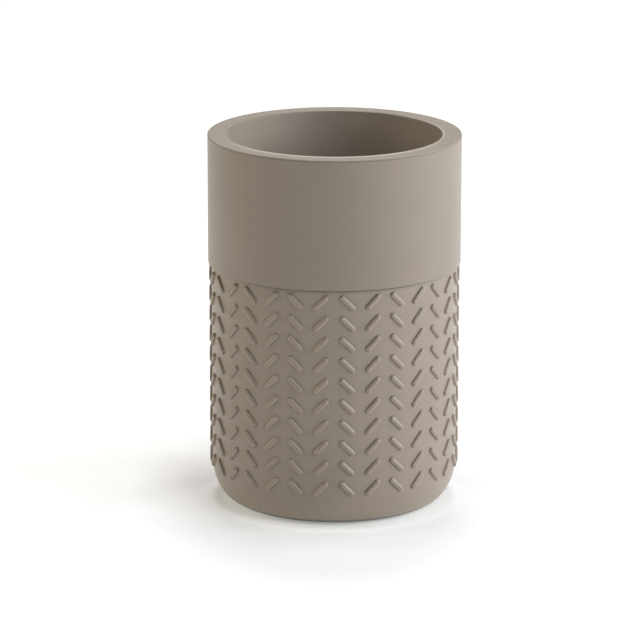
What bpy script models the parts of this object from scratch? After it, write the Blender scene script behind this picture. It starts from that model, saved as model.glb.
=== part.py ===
# Toothbrush tumbler: an inner cup whose thick rim turns down into a smooth outer band,
# a patterned sleeve that the band closes over, and four non-slip pads under the foot.
# Metres, +Z up. The origin is on the axis, on the surface that the tumbler stands on.
import math

import bmesh
import bpy

# Outside
HEIGHT = 0.1110  # standing surface to rim
BAND_RADIUS = 0.0375  # smooth band, the widest part
BAND_DROP = 0.0386  # rim down to the band's lower edge
BAND_OVERHANG = 0.0010  # how far the band stands out from the patterned wall
RIM_WIDTH = 0.00575  # flat rim, from the mouth to the outside
FOOT_ACROSS = 0.0074  # rounded foot, a quarter of an ellipse, measured inwards
FOOT_UP = 0.0121  # the same, measured upwards
RIM_EDGE_ROUND = 0.0003
MOUTH_ROUND = 0.0006
BAND_EDGE_ROUND = 0.0006

# Walls
CUP_WALL = 0.0020
CUP_FLOOR = 0.0022
CUP_DRAFT = 0.00075  # radius that the cup loses from its mouth to its floor
SKIRT_WALL = 0.00185  # the band, where it hangs outside the sleeve's neck
RIM_WEB = 0.0030  # solid rim that joins the cup and the band
SLEEVE_FLOOR = 0.0024
LEAST_CORNER = 0.0005  # an inner corner never gets sharper than this

# How the pieces meet
FIT_GAP = 0.0003
NECK_RISE = 0.0120  # the sleeve's neck, above its shoulder
NECK_LEAD_IN = 0.0004
BEAD_HEIGHT_ON_NECK = 0.0065  # middle of the snap bead, above the shoulder
BEAD_DEPTH = 0.00045
BEAD_FOOT = 0.0022  # bead's full height where it leaves the neck
BEAD_CREST = 0.0008  # bead's full height at its crest

# Raised bars, leaning left and right by turns in upright columns
COLUMN_PITCH = 0.00764
ROW_PITCH = 0.00624
FIRST_ROW_DROP = 0.00365  # band's lower edge to the middle of the top row
PLAIN_FOOT = 0.0080  # height kept plain under the bars
BAR_WIDTH = 0.0018
BAR_SPACING = 0.0014  # plain wall between a bar and the one below it
BAR_RISE = 0.0007
BAR_DRAFT = 0.0002  # how far each side leans in over the rise
BAR_LEAN = math.radians(45)

# Non-slip pads
PAD_RADIUS = 0.0048
PAD_THICKNESS = 0.0012
PAD_PROUD = 0.00025  # how far a pad stands out of its recess
PAD_EDGE = 0.0002
PAD_CIRCLE = 0.0185  # radius that the pads stand on
PAD_PLACES = {"front": 0, "right": 90, "rear": 180, "left": 270}
PAD_SIDES = 24

CORNER_STEPS = 6
ROUND_STEPS = 2
SMOOTH_ANGLE = math.radians(35)

# Colours are linear
TAUPE = (0.290, 0.243, 0.196)
PAD_GREY = (0.13, 0.125, 0.12)
SATIN = 0.55
RUBBERY = 0.85

# Worked out from the sizes above
body_radius = BAND_RADIUS - BAND_OVERHANG
mouth_radius = BAND_RADIUS - RIM_WIDTH
cup_outside = mouth_radius + CUP_WALL
skirt_inside = BAND_RADIUS - SKIRT_WALL
neck_outside = skirt_inside - FIT_GAP
sleeve_inside = cup_outside + FIT_GAP
band_edge = HEIGHT - BAND_DROP
shoulder = band_edge - FIT_GAP
base = PAD_PROUD
foot_middle_radius = body_radius - FOOT_ACROSS
foot_middle = base + FOOT_UP
sleeve_floor_top = base + SLEEVE_FLOOR
cup_base = sleeve_floor_top + FIT_GAP
cup_floor_top = cup_base + CUP_FLOOR
bead_middle = shoulder + BEAD_HEIGHT_ON_NECK
columns = 2 * round(math.pi * body_radius / COLUMN_PITCH)
sides = 2 * columns
first_row = band_edge - FIRST_ROW_DROP
rows = int((first_row + ROW_PITCH / 2 - PLAIN_FOOT) / ROW_PITCH)


def corner(wall_radius, floor, start=0.0):
    """Quarter of an ellipse from the floor out and up to the wall, inside the foot's own curve.

    It keeps the foot's middle, so walls stay parallel round it.
    """
    across = max(wall_radius - foot_middle_radius, LEAST_CORNER)
    up = max(foot_middle - floor, LEAST_CORNER)
    points = []
    for step in range(CORNER_STEPS + 1):
        turn = start + (math.pi / 2 - start) * (1 - step / CORNER_STEPS)
        radius = wall_radius - across + across * math.cos(turn)
        height = floor + up - up * math.sin(turn)
        points.append((radius, height))
    return points


def wall_radius_at(height):
    """Radius of the sleeve's plain outside at a height: straight, then curving in at the foot."""
    below = max(foot_middle - height, 0.0) / FOOT_UP
    return foot_middle_radius + FOOT_ACROSS * math.sqrt(1 - below**2)


def rounded(middle_radius, middle_height, size, first_angle):
    """Quarter circle of a profile, turning left from the first angle."""
    points = []
    for step in range(ROUND_STEPS + 1):
        turn = math.radians(first_angle + 90 * step / ROUND_STEPS)
        points.append((middle_radius + size * math.cos(turn), middle_height + size * math.sin(turn)))
    return points


def around(angle, radius, height):
    """Point on the turned shape. Angle 0 is the front, and it grows towards the right."""
    return (radius * math.sin(angle), -radius * math.cos(angle), height)


def add_ring(bm, radius, height):
    return [bm.verts.new(around(2 * math.pi * k / sides, radius, height)) for k in range(sides)]


def join_loops(bm, outer, inner):
    """A face between each side of one closed loop and the same side of the next."""
    count = len(outer)
    for k in range(count):
        after = (k + 1) % count
        bm.faces.new((outer[k], outer[after], inner[after], inner[k]))


def add_turned(bm, profile):
    """Rings for the profile's points, joined in order. Gives back the rings."""
    rings = [add_ring(bm, radius, height) for radius, height in profile]
    for lower, upper in zip(rings, rings[1:]):
        join_loops(bm, lower, upper)
    return rings


def make_object(name, bm, material, parent):
    bmesh.ops.recalc_face_normals(bm, faces=bm.faces)
    mesh = bpy.data.meshes.new(name)
    bm.to_mesh(mesh)
    bm.free()
    mesh.shade_smooth()
    mesh.set_sharp_from_angle(angle=SMOOTH_ANGLE)
    mesh.materials.append(material)
    piece = bpy.data.objects.new(name, mesh)
    bpy.context.scene.collection.objects.link(piece)
    piece.parent = parent
    return piece


def make_material(name, colour, roughness):
    material = bpy.data.materials.new(name)
    material.use_nodes = True
    shader = material.node_tree.nodes["Principled BSDF"]
    shader.inputs["Base Color"].default_value = (*colour, 1.0)
    shader.inputs["Roughness"].default_value = roughness
    shader.inputs["Metallic"].default_value = 0.0
    material.diffuse_color = (*colour, 1.0)
    return material


def snap_section(radius, clearance):
    """The bead's section standing out of a radius, bottom to top, or its groove with clearance."""
    foot = BEAD_FOOT / 2 + clearance
    crest = BEAD_CREST / 2 + clearance
    return [
        (radius, bead_middle - foot),
        (radius + BEAD_DEPTH, bead_middle - crest),
        (radius + BEAD_DEPTH, bead_middle + crest),
        (radius, bead_middle + foot),
    ]


def make_inner_cup(parent):
    """Cup, rim and band in one turned profile, from under the cup's floor to the top of it."""
    floor_radius = mouth_radius - CUP_DRAFT
    profile = corner(floor_radius + CUP_WALL, cup_base)
    profile += [(cup_outside, HEIGHT - RIM_WEB), (skirt_inside, HEIGHT - RIM_WEB)]
    profile += reversed(snap_section(skirt_inside, FIT_GAP))
    profile += [(skirt_inside, band_edge)]
    profile += rounded(BAND_RADIUS - BAND_EDGE_ROUND, band_edge + BAND_EDGE_ROUND, BAND_EDGE_ROUND, -90)
    profile += rounded(BAND_RADIUS - RIM_EDGE_ROUND, HEIGHT - RIM_EDGE_ROUND, RIM_EDGE_ROUND, 0)
    profile += rounded(mouth_radius + MOUTH_ROUND, HEIGHT - MOUTH_ROUND, MOUTH_ROUND, 90)
    profile += reversed(corner(floor_radius, cup_floor_top))
    bm = bmesh.new()
    rings = add_turned(bm, profile)
    bm.faces.new(rings[0])
    bm.faces.new(rings[-1])
    return make_object("inner_cup", bm, make_material("cup_resin", TAUPE, SATIN), parent)


def bar_outline(lean, inset):
    """Six corners of a leaning bar, as (across, up), drawn in by the inset.

    The order starts at the lower end and runs past the bar's near side to its upper end,
    which matches cell_border.
    """
    half_width = BAR_WIDTH / 2
    reach = (ROW_PITCH - BAR_SPACING) / 2
    straight = (reach - half_width) / math.cos(BAR_LEAN)
    tip = straight + half_width - inset
    side = half_width - inset
    near = [(-tip, 0), (-straight, side), (straight, side)]
    far = [(tip, 0), (straight, -side), (-straight, -side)]
    corners = []
    for along, out in near + far:
        across = along * math.sin(BAR_LEAN) + out * math.cos(BAR_LEAN)
        up = along * math.cos(BAR_LEAN) - out * math.sin(BAR_LEAN)
        corners.append((lean * across, up))
    return corners


def cell_border(lower, upper, column, lean):
    """Six ring points round one bar, from the corner that the bar's lower end points at."""
    picks = [(2 * column + k) % sides for k in range(3)]
    if lean < 0:
        picks.reverse()
    return [lower[k] for k in picks] + [upper[k] for k in reversed(picks)]


def add_bar(bm, border, column, middle, lean):
    """One bar: plain wall from the cell's border to its foot, leaning sides and a flat crest."""
    angle = 2 * math.pi * (column + 0.5) / columns
    loops = [border]
    for inset, rise in ((0.0, 0.0), (BAR_DRAFT, BAR_RISE)):
        loop = []
        for across, up in bar_outline(lean, inset):
            radius = wall_radius_at(middle + up)
            point = around(angle + across / body_radius, radius + rise, middle + up)
            loop.append(bm.verts.new(point))
        join_loops(bm, loops[-1], loop)
        loops.append(loop)
    bm.faces.new(loops[-1])


def make_sleeve(parent):
    """Rounded foot, rows of bars, shoulder, neck with its snap bead, and the inside."""
    edges = [first_row - (row + 0.5) * ROW_PITCH for row in range(rows)]
    edges.reverse()
    edges.append(shoulder)
    below = max(foot_middle - edges[0], 0.0) / FOOT_UP
    bm = bmesh.new()
    foot = add_turned(bm, corner(body_radius, base, math.asin(below)))
    lower = foot[-1]
    for row, top in enumerate(edges[1:]):
        upper = add_ring(bm, wall_radius_at(top), top)
        middle = first_row - (rows - 1 - row) * ROW_PITCH
        for column in range(columns):
            lean = 1 if column % 2 else -1
            add_bar(bm, cell_border(lower, upper, column, lean), column, middle, lean)
        lower = upper
    neck_top = shoulder + NECK_RISE
    inside = [(neck_outside, shoulder)]
    inside += snap_section(neck_outside, 0.0)
    inside += [(neck_outside, neck_top - NECK_LEAD_IN), (neck_outside - NECK_LEAD_IN, neck_top)]
    inside += [(sleeve_inside, neck_top)]
    inside += reversed(corner(sleeve_inside, sleeve_floor_top))
    rings = add_turned(bm, inside)
    join_loops(bm, lower, rings[0])
    bm.faces.new(foot[0])
    bm.faces.new(rings[-1])
    return make_object("patterned_sleeve", bm, make_material("sleeve_resin", TAUPE, SATIN), parent)


def make_disc(name, radius, bottom, top, edge, material, parent):
    """Upright disc with its lower edge cut off by edge, standing at its own origin's height."""
    bm = bmesh.new()
    bmesh.ops.create_cone(
        bm, cap_ends=True, segments=PAD_SIDES, radius1=radius, radius2=radius, depth=top - bottom
    )
    bmesh.ops.translate(bm, verts=bm.verts, vec=(0, 0, (top + bottom) / 2))
    if edge:
        low = [e for e in bm.edges if all(v.co.z < (top + bottom) / 2 for v in e.verts)]
        bmesh.ops.bevel(bm, geom=low, offset=edge, segments=1, affect="EDGES")
    return make_object(name, bm, material, parent)


def pad_place(angle):
    return around(math.radians(angle), PAD_CIRCLE, 0.0)


def make_foot_pads(parent):
    material = make_material("pad_rubber", PAD_GREY, RUBBERY)
    for place, angle in PAD_PLACES.items():
        pad = make_disc(f"foot_pad_{place}", PAD_RADIUS, 0.0, PAD_THICKNESS, PAD_EDGE, material, parent)
        pad.location = pad_place(angle)


def cut_pad_recesses(sleeve, parent):
    """A round recess over each pad, a fit gap wider and deeper than the pad."""
    material = make_material("cutter", PAD_GREY, RUBBERY)
    for place, angle in PAD_PLACES.items():
        name = f"recess_{place}"
        cutter = make_disc(
            name, PAD_RADIUS + FIT_GAP, -PAD_THICKNESS, PAD_THICKNESS + FIT_GAP, 0.0, material, parent
        )
        cutter.location = pad_place(angle)
        cutter.hide_render = True
        cutter.display_type = "WIRE"
        cut = sleeve.modifiers.new(name, "BOOLEAN")
        cut.operation = "DIFFERENCE"
        cut.object = cutter


def main():
    for old in list(bpy.data.objects):
        bpy.data.objects.remove(old)
    tumbler = bpy.data.objects.new("tumbler", None)
    bpy.context.scene.collection.objects.link(tumbler)
    make_inner_cup(tumbler)
    sleeve = make_sleeve(tumbler)
    make_foot_pads(tumbler)
    cut_pad_recesses(sleeve, tumbler)


main()
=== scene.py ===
import math

import bpy
import bmesh
import numpy as np
from mathutils import Matrix, Vector


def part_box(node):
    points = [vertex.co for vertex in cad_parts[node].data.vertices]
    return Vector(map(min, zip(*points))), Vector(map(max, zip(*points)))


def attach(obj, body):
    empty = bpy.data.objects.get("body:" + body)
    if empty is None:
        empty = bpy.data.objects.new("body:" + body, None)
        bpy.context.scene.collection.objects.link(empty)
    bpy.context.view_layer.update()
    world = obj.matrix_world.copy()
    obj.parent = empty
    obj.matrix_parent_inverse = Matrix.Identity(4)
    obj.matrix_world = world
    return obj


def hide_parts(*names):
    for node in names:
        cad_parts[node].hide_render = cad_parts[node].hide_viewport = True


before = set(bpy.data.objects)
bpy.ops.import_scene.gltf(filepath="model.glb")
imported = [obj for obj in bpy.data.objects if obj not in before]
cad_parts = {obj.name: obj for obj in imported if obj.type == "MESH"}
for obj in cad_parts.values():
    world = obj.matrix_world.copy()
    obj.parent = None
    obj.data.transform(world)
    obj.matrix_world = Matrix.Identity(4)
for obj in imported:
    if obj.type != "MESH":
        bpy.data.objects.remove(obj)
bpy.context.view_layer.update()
print("frame loaded")

cupLow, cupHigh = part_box("inner_cup")
sleeveLow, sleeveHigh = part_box("patterned_sleeve")
padLow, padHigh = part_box("foot_pad_right")

mm = 0.001
samePlace = 1e-6  # points this close are one point
tiny = 1e-9  # keeps a division or a comparison safe, far below any size here
shape = {  # sizes that more than one piece needs
    "bandDrop": 38.6 * mm,  # rim down to the band's lower edge
    "overhang": 1.0 * mm,  # band stands this far out from the sleeve
    "rimWidth": 5.75 * mm,
    "cupWall": 2.0 * mm,
    "skirtWall": 1.85 * mm,
    "fitGap": 0.3 * mm,
    "footAcross": 7.4 * mm,  # rounded foot, inwards
    "footUp": 12.1 * mm,  # rounded foot, upwards
    "beadUp": 6.5 * mm,  # snap bead, above the shoulder
    "beadDepth": 0.45 * mm,
    "beadFoot": 2.2 * mm,
    "beadCrest": 0.8 * mm,
    "sides": 180,  # facets round every large turned shape
    "hold": 0.12 * mm,  # a ring this near each end of a long stretch keeps its shading flat
    "longStretch": 4,  # holds that a stretch has to be longer than to count as long
}
rimHeight = cupHigh.z
bandRadius = cupHigh.x
bandEdge = rimHeight - shape["bandDrop"]
bodyRadius = bandRadius - shape["overhang"]
mouthRadius = bandRadius - shape["rimWidth"]
shoulder = bandEdge - shape["fitGap"]
footMiddleRadius = bodyRadius - shape["footAcross"]
footMiddle = sleeveLow.z + shape["footUp"]


# Helpers for profiles and meshes

def arc(middle, size, start, end, steps=5):
    # circle of that size round the middle, between two angles in degrees
    turn = np.radians(np.linspace(start, end, steps + 1))
    return np.stack([middle[0] + size * np.cos(turn), middle[1] + size * np.sin(turn)], -1)


def footCurve(wall, floor, topTurn=0.0, steps=12):
    # quarter of an ellipse (x^2/a^2 + z^2/b^2 = 1) from the floor out and up to the wall
    across = wall - footMiddleRadius
    up = footMiddle - floor
    turn = np.linspace(math.pi / 2, topTurn, steps + 1)
    return np.stack([footMiddleRadius + across * np.cos(turn), footMiddle - up * np.sin(turn)], -1)


def wallRadius(height):
    # the sleeve's plain outside at a height: straight, then the same ellipse at the foot
    below = (footMiddle - height).clip(0) / shape["footUp"]
    return footMiddleRadius + shape["footAcross"] * np.sqrt(1 - below ** 2)


def wallNormal(height):
    # the same outside's normal as (outwards, upwards): gradient of the ellipse, level above the foot
    below = (footMiddle - height).clip(0) / shape["footUp"]
    outwards = np.sqrt(1 - below ** 2) / shape["footAcross"]
    upwards = -below / shape["footUp"]
    size = np.hypot(outwards, upwards)
    return outwards / size, upwards / size


def bead(radius, clearance):
    # section of the snap bead standing out of a radius, bottom to top
    foot = shape["beadFoot"] / 2 + clearance
    crest = shape["beadCrest"] / 2 + clearance
    out = radius + shape["beadDepth"]
    middle = shoulder + shape["beadUp"]
    return np.array([
        [radius, middle - foot],
        [out, middle - crest],
        [out, middle + crest],
        [radius, middle + foot],
    ])


def around(angle, radius, height):
    # place on the tumbler from an angle, a radius and a height
    angle, radius, height = np.broadcast_arrays(angle, radius, height)
    return np.stack([radius * np.sin(angle), -radius * np.cos(angle), height], -1)


def withHolds(profile):
    # every long stretch gets a point one hold in from each of its ends
    step = np.diff(profile, axis=0)
    length = np.linalg.norm(step, axis=1)
    share = shape["hold"] / np.maximum(length, tiny)
    long = np.nonzero(share < 1 / shape["longStretch"])[0]
    near = profile[long] + step[long] * share[long, None]
    far = profile[long + 1] - step[long] * share[long, None]
    return np.insert(profile, np.repeat(long + 1, 2), np.stack([near, far], 1).reshape(-1, 2), axis=0)


def turned(profile, sides):
    # the profile carried once round the axis, as points [profile, side]
    angle = np.linspace(0, 2 * math.pi, sides, endpoint=False)
    return around(angle[None], profile[:, :1], profile[:, 1:])


def loopFaces(loops, count):
    # quads between neighbouring closed loops of one block of points [loop, point]
    low = np.arange(loops - 1)[:, None] * count + np.arange(count)
    low = low.reshape(-1)
    after = np.where((low + 1) % count == 0, low + 1 - count, low + 1)
    return np.stack([low, after, after + count, low + count], -1)


def plainBlock(points, quads, aims=None):
    # a block in its plain colour, and without shading normals of its own if none are given
    if aims is None:
        aims = np.zeros((*quads.shape, 3))
    return points, quads, aims, np.ones((*quads.shape, 3))


def makePiece(name, blocks, material, replaced, sharp=32):
    # blocks is a list of (points, quads, aims, tones): joined, doubles merged, normals turned outwards.
    # aims are shading normals of the quads' corners, and a zero leaves one to Blender;
    # tones are what the colour is multiplied by at each corner, in red, green and blue.
    # An edge of more than sharp degrees stays sharp
    starts = np.cumsum([0] + [len(block[0]) for block in blocks[:-1]])
    points = np.concatenate([block[0] for block in blocks])
    quads = np.concatenate([block[1] + start for block, start in zip(blocks, starts)])
    aims = np.concatenate([block[2] for block in blocks])
    tones = np.concatenate([block[3] for block in blocks])
    mesh = bpy.data.meshes.new(name)
    mesh.from_pydata(points.tolist(), [], quads.tolist())
    mesh.attributes.new("aim", "FLOAT_VECTOR", "CORNER").data.foreach_set("vector", aims.ravel())
    mesh.attributes.new("tone", "FLOAT_VECTOR", "CORNER").data.foreach_set("vector", tones.ravel())
    bm = bmesh.new()
    bm.from_mesh(mesh)
    bmesh.ops.remove_doubles(bm, verts=bm.verts, dist=samePlace)
    bmesh.ops.recalc_face_normals(bm, faces=bm.faces)
    bm.to_mesh(mesh)
    bm.free()
    mesh.shade_smooth()
    mesh.set_sharp_from_angle(angle=math.radians(sharp))
    kept = np.empty(len(mesh.loops) * 3, np.float32)
    mesh.attributes["aim"].data.foreach_get("vector", kept)
    if kept.any():
        mesh.normals_split_custom_set(kept.reshape(-1, 3).tolist())
    mesh.attributes.remove(mesh.attributes["aim"])
    mesh.materials.append(material)
    piece = bpy.data.objects.new(name, mesh)
    bpy.context.scene.collection.objects.link(piece)
    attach(piece, "root")
    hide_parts(*replaced)
    print(name, len(mesh.polygons), "faces")


# Materials

noise = {
    "roughness": 0.55,
    "most": (0.3, 0.7),  # nearly all of a noise lies between these
    "flecks": (0.35, 0.75),  # the part of it that shows as flecks
}


def addNode(tree, kind, **values):
    # each value goes to the input of that name, or else to the node's own setting
    node = tree.nodes.new(kind)
    for key, value in values.items():
        if key in node.inputs:
            node.inputs[key].default_value = value
        else:
            setattr(node, key, value)
    return node


def blotch(tree, place, size, detail):
    # noise whose patches are about size across
    node = addNode(tree, "ShaderNodeTexNoise", Scale=1 / size, Detail=detail, Roughness=noise["roughness"])
    tree.links.new(place.outputs["Object"], node.inputs["Vector"])
    return node.outputs["Fac"]


def ramp(tree, source, low, high, to):
    # what runs from low to high comes out between the two numbers of to, and stays at them beyond
    node = addNode(tree, "ShaderNodeMapRange")
    node.inputs["From Min"].default_value = low
    node.inputs["From Max"].default_value = high
    node.inputs["To Min"].default_value = to[0]
    node.inputs["To Max"].default_value = to[1]
    tree.links.new(source, node.inputs["Value"])
    return node.outputs["Result"]


def combine(tree, operation, first, second):
    # one number from two
    node = addNode(tree, "ShaderNodeMath", operation=operation)
    tree.links.new(first, node.inputs[0])
    tree.links.new(second, node.inputs[1])
    return node.outputs["Value"]


def mixColour(tree, factor, first, second):
    # the first colour at factor 0, the second at 1, each given as numbers or as a node's output
    node = addNode(tree, "ShaderNodeMix", data_type="RGBA")
    tree.links.new(factor, node.inputs["Factor"])
    sockets = {socket.name: socket for socket in node.inputs if socket.type == "RGBA"}
    for side, colour in (("A", first), ("B", second)):
        if isinstance(colour, tuple):
            sockets[side].default_value = (*colour, 1)
        else:
            tree.links.new(colour, sockets[side])
    return [socket for socket in node.outputs if socket.type == "RGBA"][0]


def ringed(tree, place, colour, ring):
    # mixes a share of another colour in close to a ring round the axis: all of it at near, none at far.
    # A ring with a fade is nothing at its first X or Y and whole at its second
    flat = addNode(tree, "ShaderNodeVectorMath", operation="MULTIPLY")
    tree.links.new(place.outputs["Object"], flat.inputs[0])
    flat.inputs[1].default_value = (1, 1, 0)
    away = addNode(tree, "ShaderNodeVectorMath", operation="LENGTH")
    tree.links.new(flat.outputs["Vector"], away.inputs[0])
    split = addNode(tree, "ShaderNodeSeparateXYZ")
    tree.links.new(place.outputs["Object"], split.inputs[0])
    section = addNode(tree, "ShaderNodeCombineXYZ")
    tree.links.new(away.outputs["Value"], section.inputs["X"])
    tree.links.new(split.outputs["Z"], section.inputs["Y"])
    apart = addNode(tree, "ShaderNodeVectorMath", operation="DISTANCE")
    tree.links.new(section.outputs["Vector"], apart.inputs[0])
    apart.inputs[1].default_value = (ring["radius"], ring["height"], 0)
    share = ramp(tree, apart.outputs["Value"], ring["near"], ring["far"], (ring["share"], 0.0))
    if "fade" in ring:
        axis, nothing, whole = ring["fade"]
        facing = ramp(tree, split.outputs[axis], nothing, whole, (0.0, 1.0))
        share = combine(tree, "MULTIPLY", share, facing)
    return mixColour(tree, share, colour, ring["colour"])


def mouldedMaterial(name, finish):
    # satin moulding: cloudy pigment, fine speckle, uneven gloss and a fine grain in the surface
    material = bpy.data.materials.new(name)
    material.use_nodes = True
    tree = material.node_tree
    shader = tree.nodes["Principled BSDF"]
    place = addNode(tree, "ShaderNodeTexCoord")
    clouds = blotch(tree, place, finish["cloudSize"], finish["cloudDetail"])
    speckle = blotch(tree, place, finish["speckleSize"], finish["speckleDetail"])
    grain = blotch(tree, place, finish["grainSize"], finish["grainDetail"])
    cloudy = ramp(tree, clouds, *noise["most"], (0, 1))
    pigment = mixColour(tree, cloudy, finish["deep"], finish["pale"])
    fleck = ramp(tree, speckle, *noise["flecks"], (0, finish["speckle"]))
    colour = mixColour(tree, fleck, pigment, finish["fleck"])
    # the tone attribute holds painted light and shade: the cup's paler inside and rim, the bars' highlights
    # and shade
    tone = addNode(tree, "ShaderNodeAttribute", attribute_name="tone")
    toned = addNode(tree, "ShaderNodeVectorMath", operation="MULTIPLY")
    tree.links.new(colour, toned.inputs[0])
    tree.links.new(tone.outputs["Vector"], toned.inputs[1])
    colour = toned.outputs["Vector"]
    # each ring paints a highlight or a shade
    for ring in finish["rings"]:
        colour = ringed(tree, place, colour, ring)
    tree.links.new(colour, shader.inputs["Base Color"])
    gloss = ramp(tree, speckle, *noise["most"], finish["roughness"])
    tree.links.new(gloss, shader.inputs["Roughness"])
    bump = addNode(tree, "ShaderNodeBump", Strength=finish["grain"], Distance=finish["grainDepth"])
    tree.links.new(grain, bump.inputs["Height"])
    tree.links.new(bump.outputs["Normal"], shader.inputs["Normal"])
    shader.inputs["Specular IOR Level"].default_value = finish["shine"]
    return material


taupeFinish = {
    "deep": (0.262, 0.214, 0.162),
    "pale": (0.281, 0.228, 0.175),
    "fleck": (0.309, 0.253, 0.194),
    "speckle": 0.25,  # largest share of the fleck's colour
    "cloudSize": 22 * mm,
    "cloudDetail": 3.0,
    "speckleSize": 0.5 * mm,
    "speckleDetail": 2.0,
    "grainSize": 0.16 * mm,
    "grainDetail": 3.0,
    "grain": 0.35,
    "grainDepth": 0.03 * mm,
    "roughness": (0.35, 0.45),
    "shine": 0.5,
    "rings": [],
}
# colours for the rings: painted highlight and painted shade
paintedHighlight = (0.60, 0.56, 0.52)
shaded = (0.13, 0.105, 0.08)
cupFinish = dict(taupeFinish)
cupPaintedShade = 0.905  # painted shade: the cup is darker than the sleeve by this factor
for pigment in ("deep", "pale", "fleck"):
    cupFinish[pigment] = tuple(cupPaintedShade * value for value in taupeFinish[pigment])
cupFinish["rings"] = [
    {  # painted highlight along the near part of the mouth
        "radius": mouthRadius + 1.2 * mm, "height": rimHeight, "near": 0.2 * mm, "far": 0.75 * mm,
        "share": 0.75, "colour": paintedHighlight, "fade": ("Y", -10 * mm, -30 * mm),
    },
    {  # the same painted highlight along its right part
        "radius": mouthRadius + 0.35 * mm, "height": rimHeight, "near": 0.15 * mm, "far": 0.5 * mm,
        "share": 0.5, "colour": paintedHighlight, "fade": ("X", 14 * mm, 28 * mm),
    },
    {  # painted shade, a soft dark edge along the far part of the mouth
        "radius": mouthRadius + 0.45 * mm, "height": rimHeight + 0.4 * mm, "near": 0.4 * mm, "far": 1.0 * mm,
        "share": 0.4, "colour": shaded, "fade": ("Y", 8 * mm, 30 * mm),
    },
    {  # painted shade, a thin dark line under the rim's outer edge
        "radius": bandRadius, "height": rimHeight - 0.45 * mm, "near": 0.05 * mm, "far": 0.22 * mm,
        "share": 0.65, "colour": (0.11, 0.09, 0.07), "fade": ("Y", 12 * mm, -12 * mm),
    },
]
sleeveFinish = dict(taupeFinish)
sleeveFinish["rings"] = [
    {  # soft shade on the wall below the band
        "radius": bodyRadius, "height": bandEdge, "near": 0.25 * mm, "far": 1.5 * mm,
        "share": 0.35, "colour": shaded,
    },
    {  # painted contact shadow where the foot turns under
        "radius": footMiddleRadius + 1.2 * mm, "height": sleeveLow.z + 0.15 * mm,
        "near": 2.0 * mm, "far": 3.2 * mm, "share": 0.85, "colour": (0.05, 0.04, 0.03),
    },
]
cupResin = mouldedMaterial("cupResin", cupFinish)
sleeveResin = mouldedMaterial("sleeveResin", sleeveFinish)

padFinish = dict(taupeFinish)
padFinish.update({
    "deep": (0.115, 0.11, 0.105),
    "pale": (0.14, 0.135, 0.13),
    "fleck": (0.2, 0.195, 0.19),
    "grain": 0.7,
    "roughness": (0.75, 0.92),
    "shine": 0.25,
})
padRubber = mouldedMaterial("padRubber", padFinish)
print("materials made")


# Inner cup, with the rim that turns down into the smooth band

cup = {
    "floor": 2.2 * mm,
    "draft": 0.75 * mm,  # radius lost from mouth to floor
    "rimWeb": 3.0 * mm,
    "rimRound": 0.22 * mm,
    "mouthRound": 0.35 * mm,
    "bandEdgeRound": 0.3 * mm,
    "insidePaintedLight": (1.40, 1.43, 1.52),  # times the band's colour: painted light, so the inside is paler and greyer
    "rimPaintedLight": (1.14, 1.14, 1.14),  # the same painted light for the rim, which is only paler
}


def cupProfile():
    # from under the floor, up outside the cup, over the channel, round the band and down inside
    inside = mouthRadius - cup["draft"]
    outside = mouthRadius + shape["cupWall"]
    skirt = bandRadius - shape["skirtWall"]
    web = rimHeight - cup["rimWeb"]
    edge, rim, mouth = cup["bandEdgeRound"], cup["rimRound"], cup["mouthRound"]
    floorTop = cupLow.z + cup["floor"]
    return withHolds(np.concatenate([
        [[0.0, cupLow.z]],
        footCurve(inside + shape["cupWall"], cupLow.z),
        [[outside, web], [skirt, web]],
        bead(skirt, shape["fitGap"])[::-1],
        [[skirt, bandEdge]],
        arc((bandRadius - edge, bandEdge + edge), edge, -90, 0),
        arc((bandRadius - rim, rimHeight - rim), rim, 0, 90),
        arc((mouthRadius + mouth, rimHeight - mouth), mouth, 90, 180),
        footCurve(inside, floorTop)[::-1],
        [[0.0, floorTop]],
    ]))


def cupBlock():
    # the turned profile, with painted light on its inside and its rim
    profile = cupProfile()
    points = turned(profile, shape["sides"]).reshape(-1, 3)
    quads = loopFaces(len(profile), shape["sides"])
    radius = np.hypot(points[:, 0], points[:, 1])
    aboveFloor = points[:, 2] > cupLow.z + cup["floor"] - samePlace
    inside = (radius < mouthRadius + samePlace) & aboveFloor
    rim = points[:, 2] > rimHeight - cup["rimRound"] - samePlace
    tones = np.ones((*quads.shape, 3))
    tones[inside[quads].all(1)] = cup["insidePaintedLight"]
    tones[rim[quads].all(1)] = cup["rimPaintedLight"]
    return points, quads, np.zeros((*quads.shape, 3)), tones


makePiece("cupAndBand", [cupBlock()], cupResin, ["inner_cup"])


# Sleeve with its leaning bars

sleeve = {
    "floor": 2.4 * mm,
    "leadIn": 0.4 * mm,
    "columns": 30,
    "rows": 10,
    "rowPitch": 6.24 * mm,
    "firstRowDrop": 3.65 * mm,  # band's edge to the middle of the top row
    "barWidth": 1.87 * mm,
    "barSpacing": 1.44 * mm,
    "barRise": 0.75 * mm,
    "acrossCell": 6,  # facets along a cell's top and bottom, as many as the turned parts have there
    "upCell": 2,  # facets up a cell's sides
    "endPoints": 3,  # on a quarter of a bar's end
    "paintedLight": 0.35,  # share of the colour that a full painted highlight adds
    # a bar from its foot to its crown: distance in, share of the rise, tilt of the shading in degrees,
    # and how much painted highlight (+) or painted shade (-) it has. A program searched for these and the
    # bar's three sizes by comparing renders with the photograph, and they were rounded and partly changed
    "loops": (
        (0.0, 0.0, 9, -0.1),
        (0.22 * mm, 0.68, 25, 0.2),
        (0.31 * mm, 0.83, 45, 0.8),
        (0.6 * mm, 1.0, 65, 0.0),
    ),
    "sharp": 50,  # degrees, more than the 36 between two facets of a bar's round end
}
firstRow = bandEdge - sleeve["firstRowDrop"]
lowestEdge = firstRow - (sleeve["rows"] - 0.5) * sleeve["rowPitch"]


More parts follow.
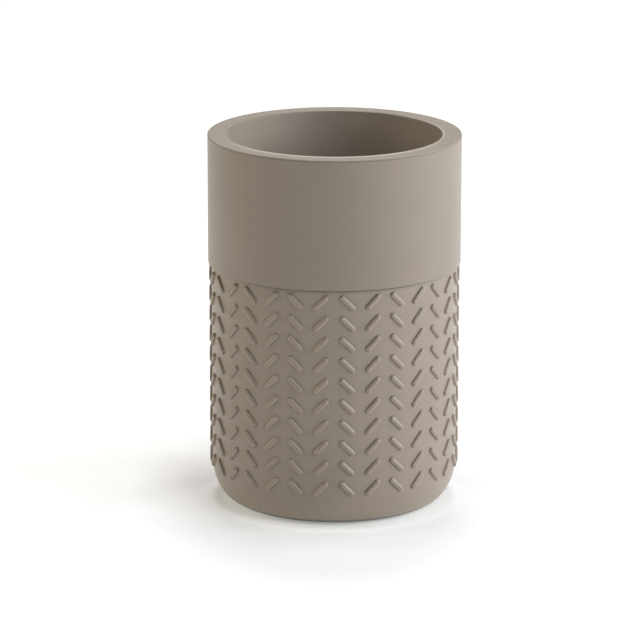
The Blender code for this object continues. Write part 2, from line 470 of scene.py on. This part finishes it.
def cellBorder():
    # rectangle round one bar as (across, up), from its lower left corner and back, anticlockwise
    wide = math.pi / sleeve["columns"] * bodyRadius
    high = sleeve["rowPitch"] / 2
    level = np.linspace(-1, 1, sleeve["acrossCell"] + 1)[:-1]
    upright = np.linspace(-1, 1, sleeve["upCell"] + 1)[:-1]
    levelOnes, uprightOnes = np.ones_like(level), np.ones_like(upright)
    across = np.concatenate([level, uprightOnes, -level, -uprightOnes]) * wide
    up = np.concatenate([-levelOnes, upright, levelOnes, -upright]) * high
    return np.stack([across, up], -1)


def barLoop(inset):
    # round-ended bar at 45 degrees, drawn in by the inset, one point for each of the border's:
    # quarter circle, straight side, quarter circle, then the same turned half round.
    # The bar's very tips lie halfway between two points
    half = sleeve["barWidth"] / 2
    reach = (sleeve["rowPitch"] - sleeve["barSpacing"]) / 2
    straight = (reach - half) * math.sqrt(2)
    ends = sleeve["endPoints"]
    turn = (np.arange(ends) + 0.5) / (ends - 0.5) * math.pi / 2
    run = np.linspace(-straight, straight, sleeve["acrossCell"] + sleeve["upCell"] - 2 * ends + 2)[1:-1]
    low = np.stack([-straight - (half - inset) * np.cos(turn), (half - inset) * np.sin(turn)], -1)
    side = np.stack([run, np.full_like(run, half - inset)], -1)
    near = np.concatenate([low, side, low[::-1] * [-1, 1]])
    both = np.concatenate([near, -near])
    along, out = both[:, 0], both[:, 1]
    return np.stack([along + out, along - out], -1) * math.sqrt(0.5)


def capFaces(loop, count):
    # quads across the last loop, from one long side of the bar to the other
    near = np.arange(count // 2 - 1)
    return loop * count + np.stack([near, near + 1, count - 2 - near, count - 1 - near], -1)


def perLoop(border, values, like):
    # one value for each loop of a cell, the border's first, at every point of every cell
    return np.broadcast_to(np.concatenate([[border], values])[:, None], like.shape).reshape(-1, 1)


def barCells():
    # points [column, row, loop, point] of every cell, its faces and their shading normals:
    # the wall aims straight out, a bar's loops aim out of its side by their own tilt
    insets, rises, tilts, paintedLights = np.array(sleeve["loops"]).T
    local = np.stack([cellBorder()] + [barLoop(inset) for inset in insets])
    loops, count = local.shape[:2]
    # what a loop moves by when its inset shrinks by one: the unit vector out of the bar's side
    side = np.broadcast_to(barLoop(0.0) - barLoop(1.0), local.shape)
    rise = np.concatenate([[0.0], rises])[:, None] * sleeve["barRise"]
    column = np.arange(sleeve["columns"])[:, None, None, None]
    # every other column leans the other way, with its border turned by one so that a corner is first again
    mirrored = local[:, ::-1] * [-1, 1]
    mirrored[0] = np.roll(mirrored[0], 1, axis=0)
    leaning = np.where(column % 2 == 1, local, mirrored)[:, None]
    aside = np.where(column % 2 == 1, side, side[:, ::-1] * [-1, 1])[:, None]
    middle = firstRow - np.arange(sleeve["rows"])[:, None, None] * sleeve["rowPitch"]
    height = middle + leaning[..., 1]
    # the top row's cells reach up to the shoulder
    topEdge = (middle == firstRow) & (leaning[..., 1] > sleeve["rowPitch"] / 2 - tiny)
    height = np.where(topEdge, shoulder, height)
    turn = (column + 0.5) * 2 * math.pi / sleeve["columns"] + leaning[..., 0] / bodyRadius
    points = around(turn, wallRadius(height) + rise, height).reshape(-1, 3)
    out = around(turn, *wallNormal(height)).reshape(-1, 3)
    right = around(turn + math.pi / 2, 1.0, 0.0 * height).reshape(-1, 3)
    upward = np.cross(out, right)
    aside = np.broadcast_to(aside, (*height.shape, 2)).reshape(-1, 2)
    tilt = np.radians(perLoop(90, tilts, height))
    leaned = (right * aside[:, :1] + upward * aside[:, 1:]) * np.cos(tilt) + out * np.sin(tilt)
    faces = np.concatenate([loopFaces(loops, count), capFaces(loops - 1, count)])
    cells = sleeve["columns"] * sleeve["rows"]
    quads = faces + np.arange(cells)[:, None, None] * loops * count
    onWall = (np.arange(len(faces)) < count)[None, :, None, None]
    aims = np.where(onWall, out[quads], leaned[quads])
    # painted light on the bars: highlights on their rounded edges and a little shade at their feet
    paintedLight = perLoop(0.0, paintedLights, height)
    tones = 1 + sleeve["paintedLight"] * np.where(onWall, 0.0, paintedLight[quads]) * np.ones(3)
    return points, quads.reshape(-1, 4), aims.reshape(-1, 4, 3), tones.reshape(-1, 4, 3)


def sleeveFoot():
    # turned foot from the flat underside up to the lowest cells, shaded by the ellipse's own normals
    below = max(footMiddle - lowestEdge, 0.0) / shape["footUp"]
    profile = footCurve(bodyRadius, sleeveLow.z, math.asin(below))
    faces = loopFaces(len(profile), shape["sides"])
    aims = turned(np.stack(wallNormal(profile[:, 1]), -1), shape["sides"]).reshape(-1, 3)
    return plainBlock(turned(profile, shape["sides"]).reshape(-1, 3), faces, aims[faces])


def sleeveInside():
    # shoulder, neck with its bead, inside wall and floor
    neck = bandRadius - shape["skirtWall"] - shape["fitGap"]
    bore = mouthRadius + shape["cupWall"] + shape["fitGap"]
    floorTop = sleeveLow.z + sleeve["floor"]
    neckTop = sleeveHigh.z
    profile = withHolds(np.concatenate([
        [[bodyRadius, shoulder], [neck, shoulder]],
        bead(neck, 0.0),
        [[neck, neckTop - sleeve["leadIn"]], [neck - sleeve["leadIn"], neckTop], [bore, neckTop]],
        footCurve(bore, floorTop)[::-1],
        [[0.0, floorTop]],
    ]))
    return plainBlock(turned(profile, shape["sides"]).reshape(-1, 3), loopFaces(len(profile), shape["sides"]))


# Underside of the sleeve: four quarters, each with a round recess for a pad

pads = {
    "gap": 0.3 * mm,  # round the pad and above it
    "radius": (padHigh.x - padLow.x) / 2,
    "circle": (padHigh.x + padLow.x) / 2,
    "edgeSteps": 10,  # facets along each straight side of a quarter
    "edgeRound": 0.25 * mm,
    "roundSteps": 4,  # facets round that edge
    "sides": 64,
    "names": ("front", "right", "rear", "left"),
}


def sleeveUnderside():
    # points [quarter, loop, point]: the quarter's outline, then the recess's mouth, roof and middle
    quarters = len(pads["names"])
    steps = pads["edgeSteps"]
    arcTurn = np.linspace(-math.pi / 4, math.pi / 4, shape["sides"] // quarters + 1)
    rim = np.stack([np.sin(arcTurn), -np.cos(arcTurn)], -1) * footMiddleRadius
    share = np.linspace(0, 1, steps + 1)[:-1, None]
    outline = np.concatenate([rim[0] * share, rim[:-1], rim[-1] * (1 - share)])
    middle = np.array([0.0, -pads["circle"]])
    toOutline = outline - middle
    reach = pads["radius"] + pads["gap"]
    mouth = middle + toOutline / np.linalg.norm(toOutline, axis=1)[:, None] * reach
    roof = padHigh.z + pads["gap"]
    heights = [sleeveLow.z, sleeveLow.z, roof, roof]
    flat = np.stack([outline, mouth, mouth, np.broadcast_to(middle, mouth.shape)])
    turn = np.arange(quarters) * math.pi / 2
    x, y = flat[..., 0], flat[..., 1]
    xs = x * np.cos(turn)[:, None, None] - y * np.sin(turn)[:, None, None]
    ys = x * np.sin(turn)[:, None, None] + y * np.cos(turn)[:, None, None]
    zs = np.broadcast_to(np.array(heights)[None, :, None], xs.shape)
    count = len(outline)
    faces = loopFaces(len(heights), count)
    start = np.arange(quarters)[:, None, None] * len(heights) * count
    return plainBlock(np.stack([xs, ys, zs], -1).reshape(-1, 3), (faces[None] + start).reshape(-1, 4))


makePiece(
    "barredSleeve",
    [sleeveFoot(), barCells(), sleeveInside(), sleeveUnderside()],
    sleeveResin, ["patterned_sleeve"], sleeve["sharp"],
)


# Foot pads

def padBlock(turn):
    # disc with rounded edges, turned about its own middle, then carried to its place
    size, edge, steps = pads["radius"], pads["edgeRound"], pads["roundSteps"]
    profile = withHolds(np.concatenate([
        [[0.0, padLow.z]],
        arc((size - edge, padLow.z + edge), edge, -90, 0, steps),
        arc((size - edge, padHigh.z - edge), edge, 0, 90, steps),
        [[0.0, padHigh.z]],
    ]))
    points = turned(profile, pads["sides"]).reshape(-1, 3)
    points = points + around(turn, pads["circle"], 0.0)
    return plainBlock(points, loopFaces(len(profile), pads["sides"]))


for place, name in enumerate(pads["names"]):
    block = padBlock(place * math.pi / 2)
    makePiece("footPad" + name.capitalize(), [block], padRubber, ["foot_pad_" + name])


# Studio: pale floor, soft lights, camera

studio = {
    "floorSize": 3.0,
    "floorDrop": 0.02 * mm,  # keeps the floor clear of the pads' undersides
    "floorColour": (0.936, 0.936, 0.926),
    "floorRoughness": 0.9,
    "floorShine": 0.1,
    "world": (1.0, 1.0, 1.0),  # only seen past the floor's edge, gives no light
    "glowColour": (1.0, 1.0, 0.935, 1.0),  # fitted together with the lamps
    "lampDistance": 1.3,
    "lampSize": 0.5,
}
# Painted light: the floor glows though no lamp is under it: two glows under the tumbler and close to its
# foot, one round its shadow and two far off. Distances are from the middle, with Y counted at the given
# share, and the strengths belong to the two reaches. A program fitted the first two to the photograph's
# floor, and they were rounded and changed a little
glows = [
    {"middle": (0.0, -1 * mm), "share": 1.0, "reach": (33 * mm, 40 * mm), "strength": (0.19, 0.0)},
    {"middle": (0.0, -14 * mm), "share": 1.65, "reach": (24 * mm, 59 * mm), "strength": (0.11, 0.0)},
    {"middle": (0.0, 0.0), "share": 0.6, "reach": (45 * mm, 62 * mm), "strength": (0.0, 0.09)},
    {"middle": (0.0, 0.0), "share": 0.6, "reach": (0.2, 0.5), "strength": (0.0, 0.16)},
    {"middle": (0.0, 0.0), "share": 1.0, "reach": (0.85, 1.4), "strength": (0.0, 0.9)},
]
# azimuth grows from the front to the right, in degrees; power is in watts. A program fitted these to the
# photograph's shading: it chose the places and the colours, and its powers were changed since
lamps = {
    "keyRight": {"azimuth": 90, "elevation": 20, "power": 5.7, "colour": (0.919, 0.95, 1.0)},
    "keyLow": {"azimuth": 90, "elevation": 5, "power": 3.0, "colour": (0.851, 0.933, 1.0)},
    "rightFront": {"azimuth": 60, "elevation": 20, "power": 6.2, "colour": (0.86, 0.903, 1.0)},
    "rightRear": {"azimuth": 120, "elevation": 20, "power": 3.9, "colour": (0.99, 0.99, 1.0)},
    "rightHigh": {"azimuth": 30, "elevation": 40, "power": 3.3, "colour": (0.92, 0.961, 1.0)},
    "leftSide": {"azimuth": -90, "elevation": 20, "power": 4.65, "colour": (1.0, 0.927, 0.731)},
    "leftRear": {"azimuth": -120, "elevation": 20, "power": 1.8, "colour": (1.0, 0.961, 0.899)},
    "rearLow": {"azimuth": 180, "elevation": 20, "power": 0.7, "colour": (0.998, 1.0, 0.968)},
    "rearHigh": {"azimuth": 180, "elevation": 62, "power": 5.0, "colour": (0.979, 0.959, 1.0)},
    "overhead": {"azimuth": 0, "elevation": 88, "power": 7.1, "colour": (0.975, 0.976, 1.0)},
}
view = {  # fitted to the tumbler's outlines in the photograph
    "distance": 1.16859,  # to the middle of the tumbler
    "elevation": 0.259682,  # radians, as are the next three
    "lower": 0.001262,  # aims this much below the middle
    "right": -0.003764,
    "roll": 0.000928,
    "lens": 220.43,
    "sensor": 36.0,
}


def glowStrength(tree, place, glow):
    # the floor's emission by one glow, from the distance to its middle
    share = glow["share"]
    moved = addNode(tree, "ShaderNodeVectorMath", operation="MULTIPLY_ADD")
    tree.links.new(place.outputs["Object"], moved.inputs[0])
    moved.inputs[1].default_value = (1.0, share, 0.0)
    moved.inputs[2].default_value = (-glow["middle"][0], -glow["middle"][1] * share, 0.0)
    away = addNode(tree, "ShaderNodeVectorMath", operation="LENGTH")
    tree.links.new(moved.outputs["Vector"], away.inputs[0])
    return ramp(tree, away.outputs["Value"], *glow["reach"], glow["strength"])


def makeFloor():
    bpy.ops.mesh.primitive_plane_add(size=studio["floorSize"])
    floor = bpy.context.object
    floor.name = "floor"
    floor.location.z = -studio["floorDrop"]
    material = bpy.data.materials.new("paleFloor")
    material.use_nodes = True
    shader = material.node_tree.nodes["Principled BSDF"]
    shader.inputs["Base Color"].default_value = (*studio["floorColour"], 1)
    shader.inputs["Roughness"].default_value = studio["floorRoughness"]
    shader.inputs["Specular IOR Level"].default_value = studio["floorShine"]
    shader.inputs["Emission Color"].default_value = studio["glowColour"]
    tree = material.node_tree
    place = addNode(tree, "ShaderNodeTexCoord")
    total = glowStrength(tree, place, glows[0])
    for glow in glows[1:]:
        total = combine(tree, "ADD", total, glowStrength(tree, place, glow))
    tree.links.new(total, shader.inputs["Emission Strength"])
    floor.data.materials.append(material)


def direction(azimuth, elevation):
    # unit vector from the tumbler's middle, both angles in radians
    flat = math.cos(elevation)
    return Vector((math.sin(azimuth) * flat, -math.cos(azimuth) * flat, math.sin(elevation)))


def makeLamp(name, lamp):
    data = bpy.data.lights.new(name, "AREA")
    data.shape = "SQUARE"
    data.size = studio["lampSize"]
    data.energy = lamp["power"]
    data.color = lamp["colour"]
    light = bpy.data.objects.new(name, data)
    bpy.context.scene.collection.objects.link(light)
    middle = Vector((0, 0, rimHeight / 2))
    away = direction(math.radians(lamp["azimuth"]), math.radians(lamp["elevation"]))
    light.location = middle + away * studio["lampDistance"]
    light.rotation_euler = away.to_track_quat("Z", "Y").to_euler()


def makeWorld():
    world = bpy.data.worlds.new("softRoom")
    bpy.context.scene.world = world
    world.use_nodes = True
    background = world.node_tree.nodes["Background"]
    background.inputs["Color"].default_value = (*studio["world"], 1)
    seen = addNode(world.node_tree, "ShaderNodeLightPath")
    world.node_tree.links.new(seen.outputs["Is Camera Ray"], background.inputs["Strength"])


def makeCamera():
    data = bpy.data.cameras.new("camera")
    data.lens = view["lens"]
    data.sensor_width = view["sensor"]
    camera = bpy.data.objects.new("camera", data)
    bpy.context.scene.collection.objects.link(camera)
    middle = Vector((0, 0, rimHeight / 2))
    place = middle + direction(0, view["elevation"]) * view["distance"]
    pitch = math.pi / 2 - view["elevation"] - view["lower"]
    aim = Matrix.Rotation(-view["right"], 4, "Z") @ Matrix.Rotation(pitch, 4, "X")
    turn = aim @ Matrix.Rotation(view["roll"], 4, "Z")
    camera.matrix_world = Matrix.Translation(place) @ turn
    bpy.context.scene.camera = camera


makeFloor()
makeWorld()
for name, lamp in lamps.items():
    makeLamp(name, lamp)
makeCamera()
bpy.context.scene.view_settings.view_transform = "Standard"
print("studio made")
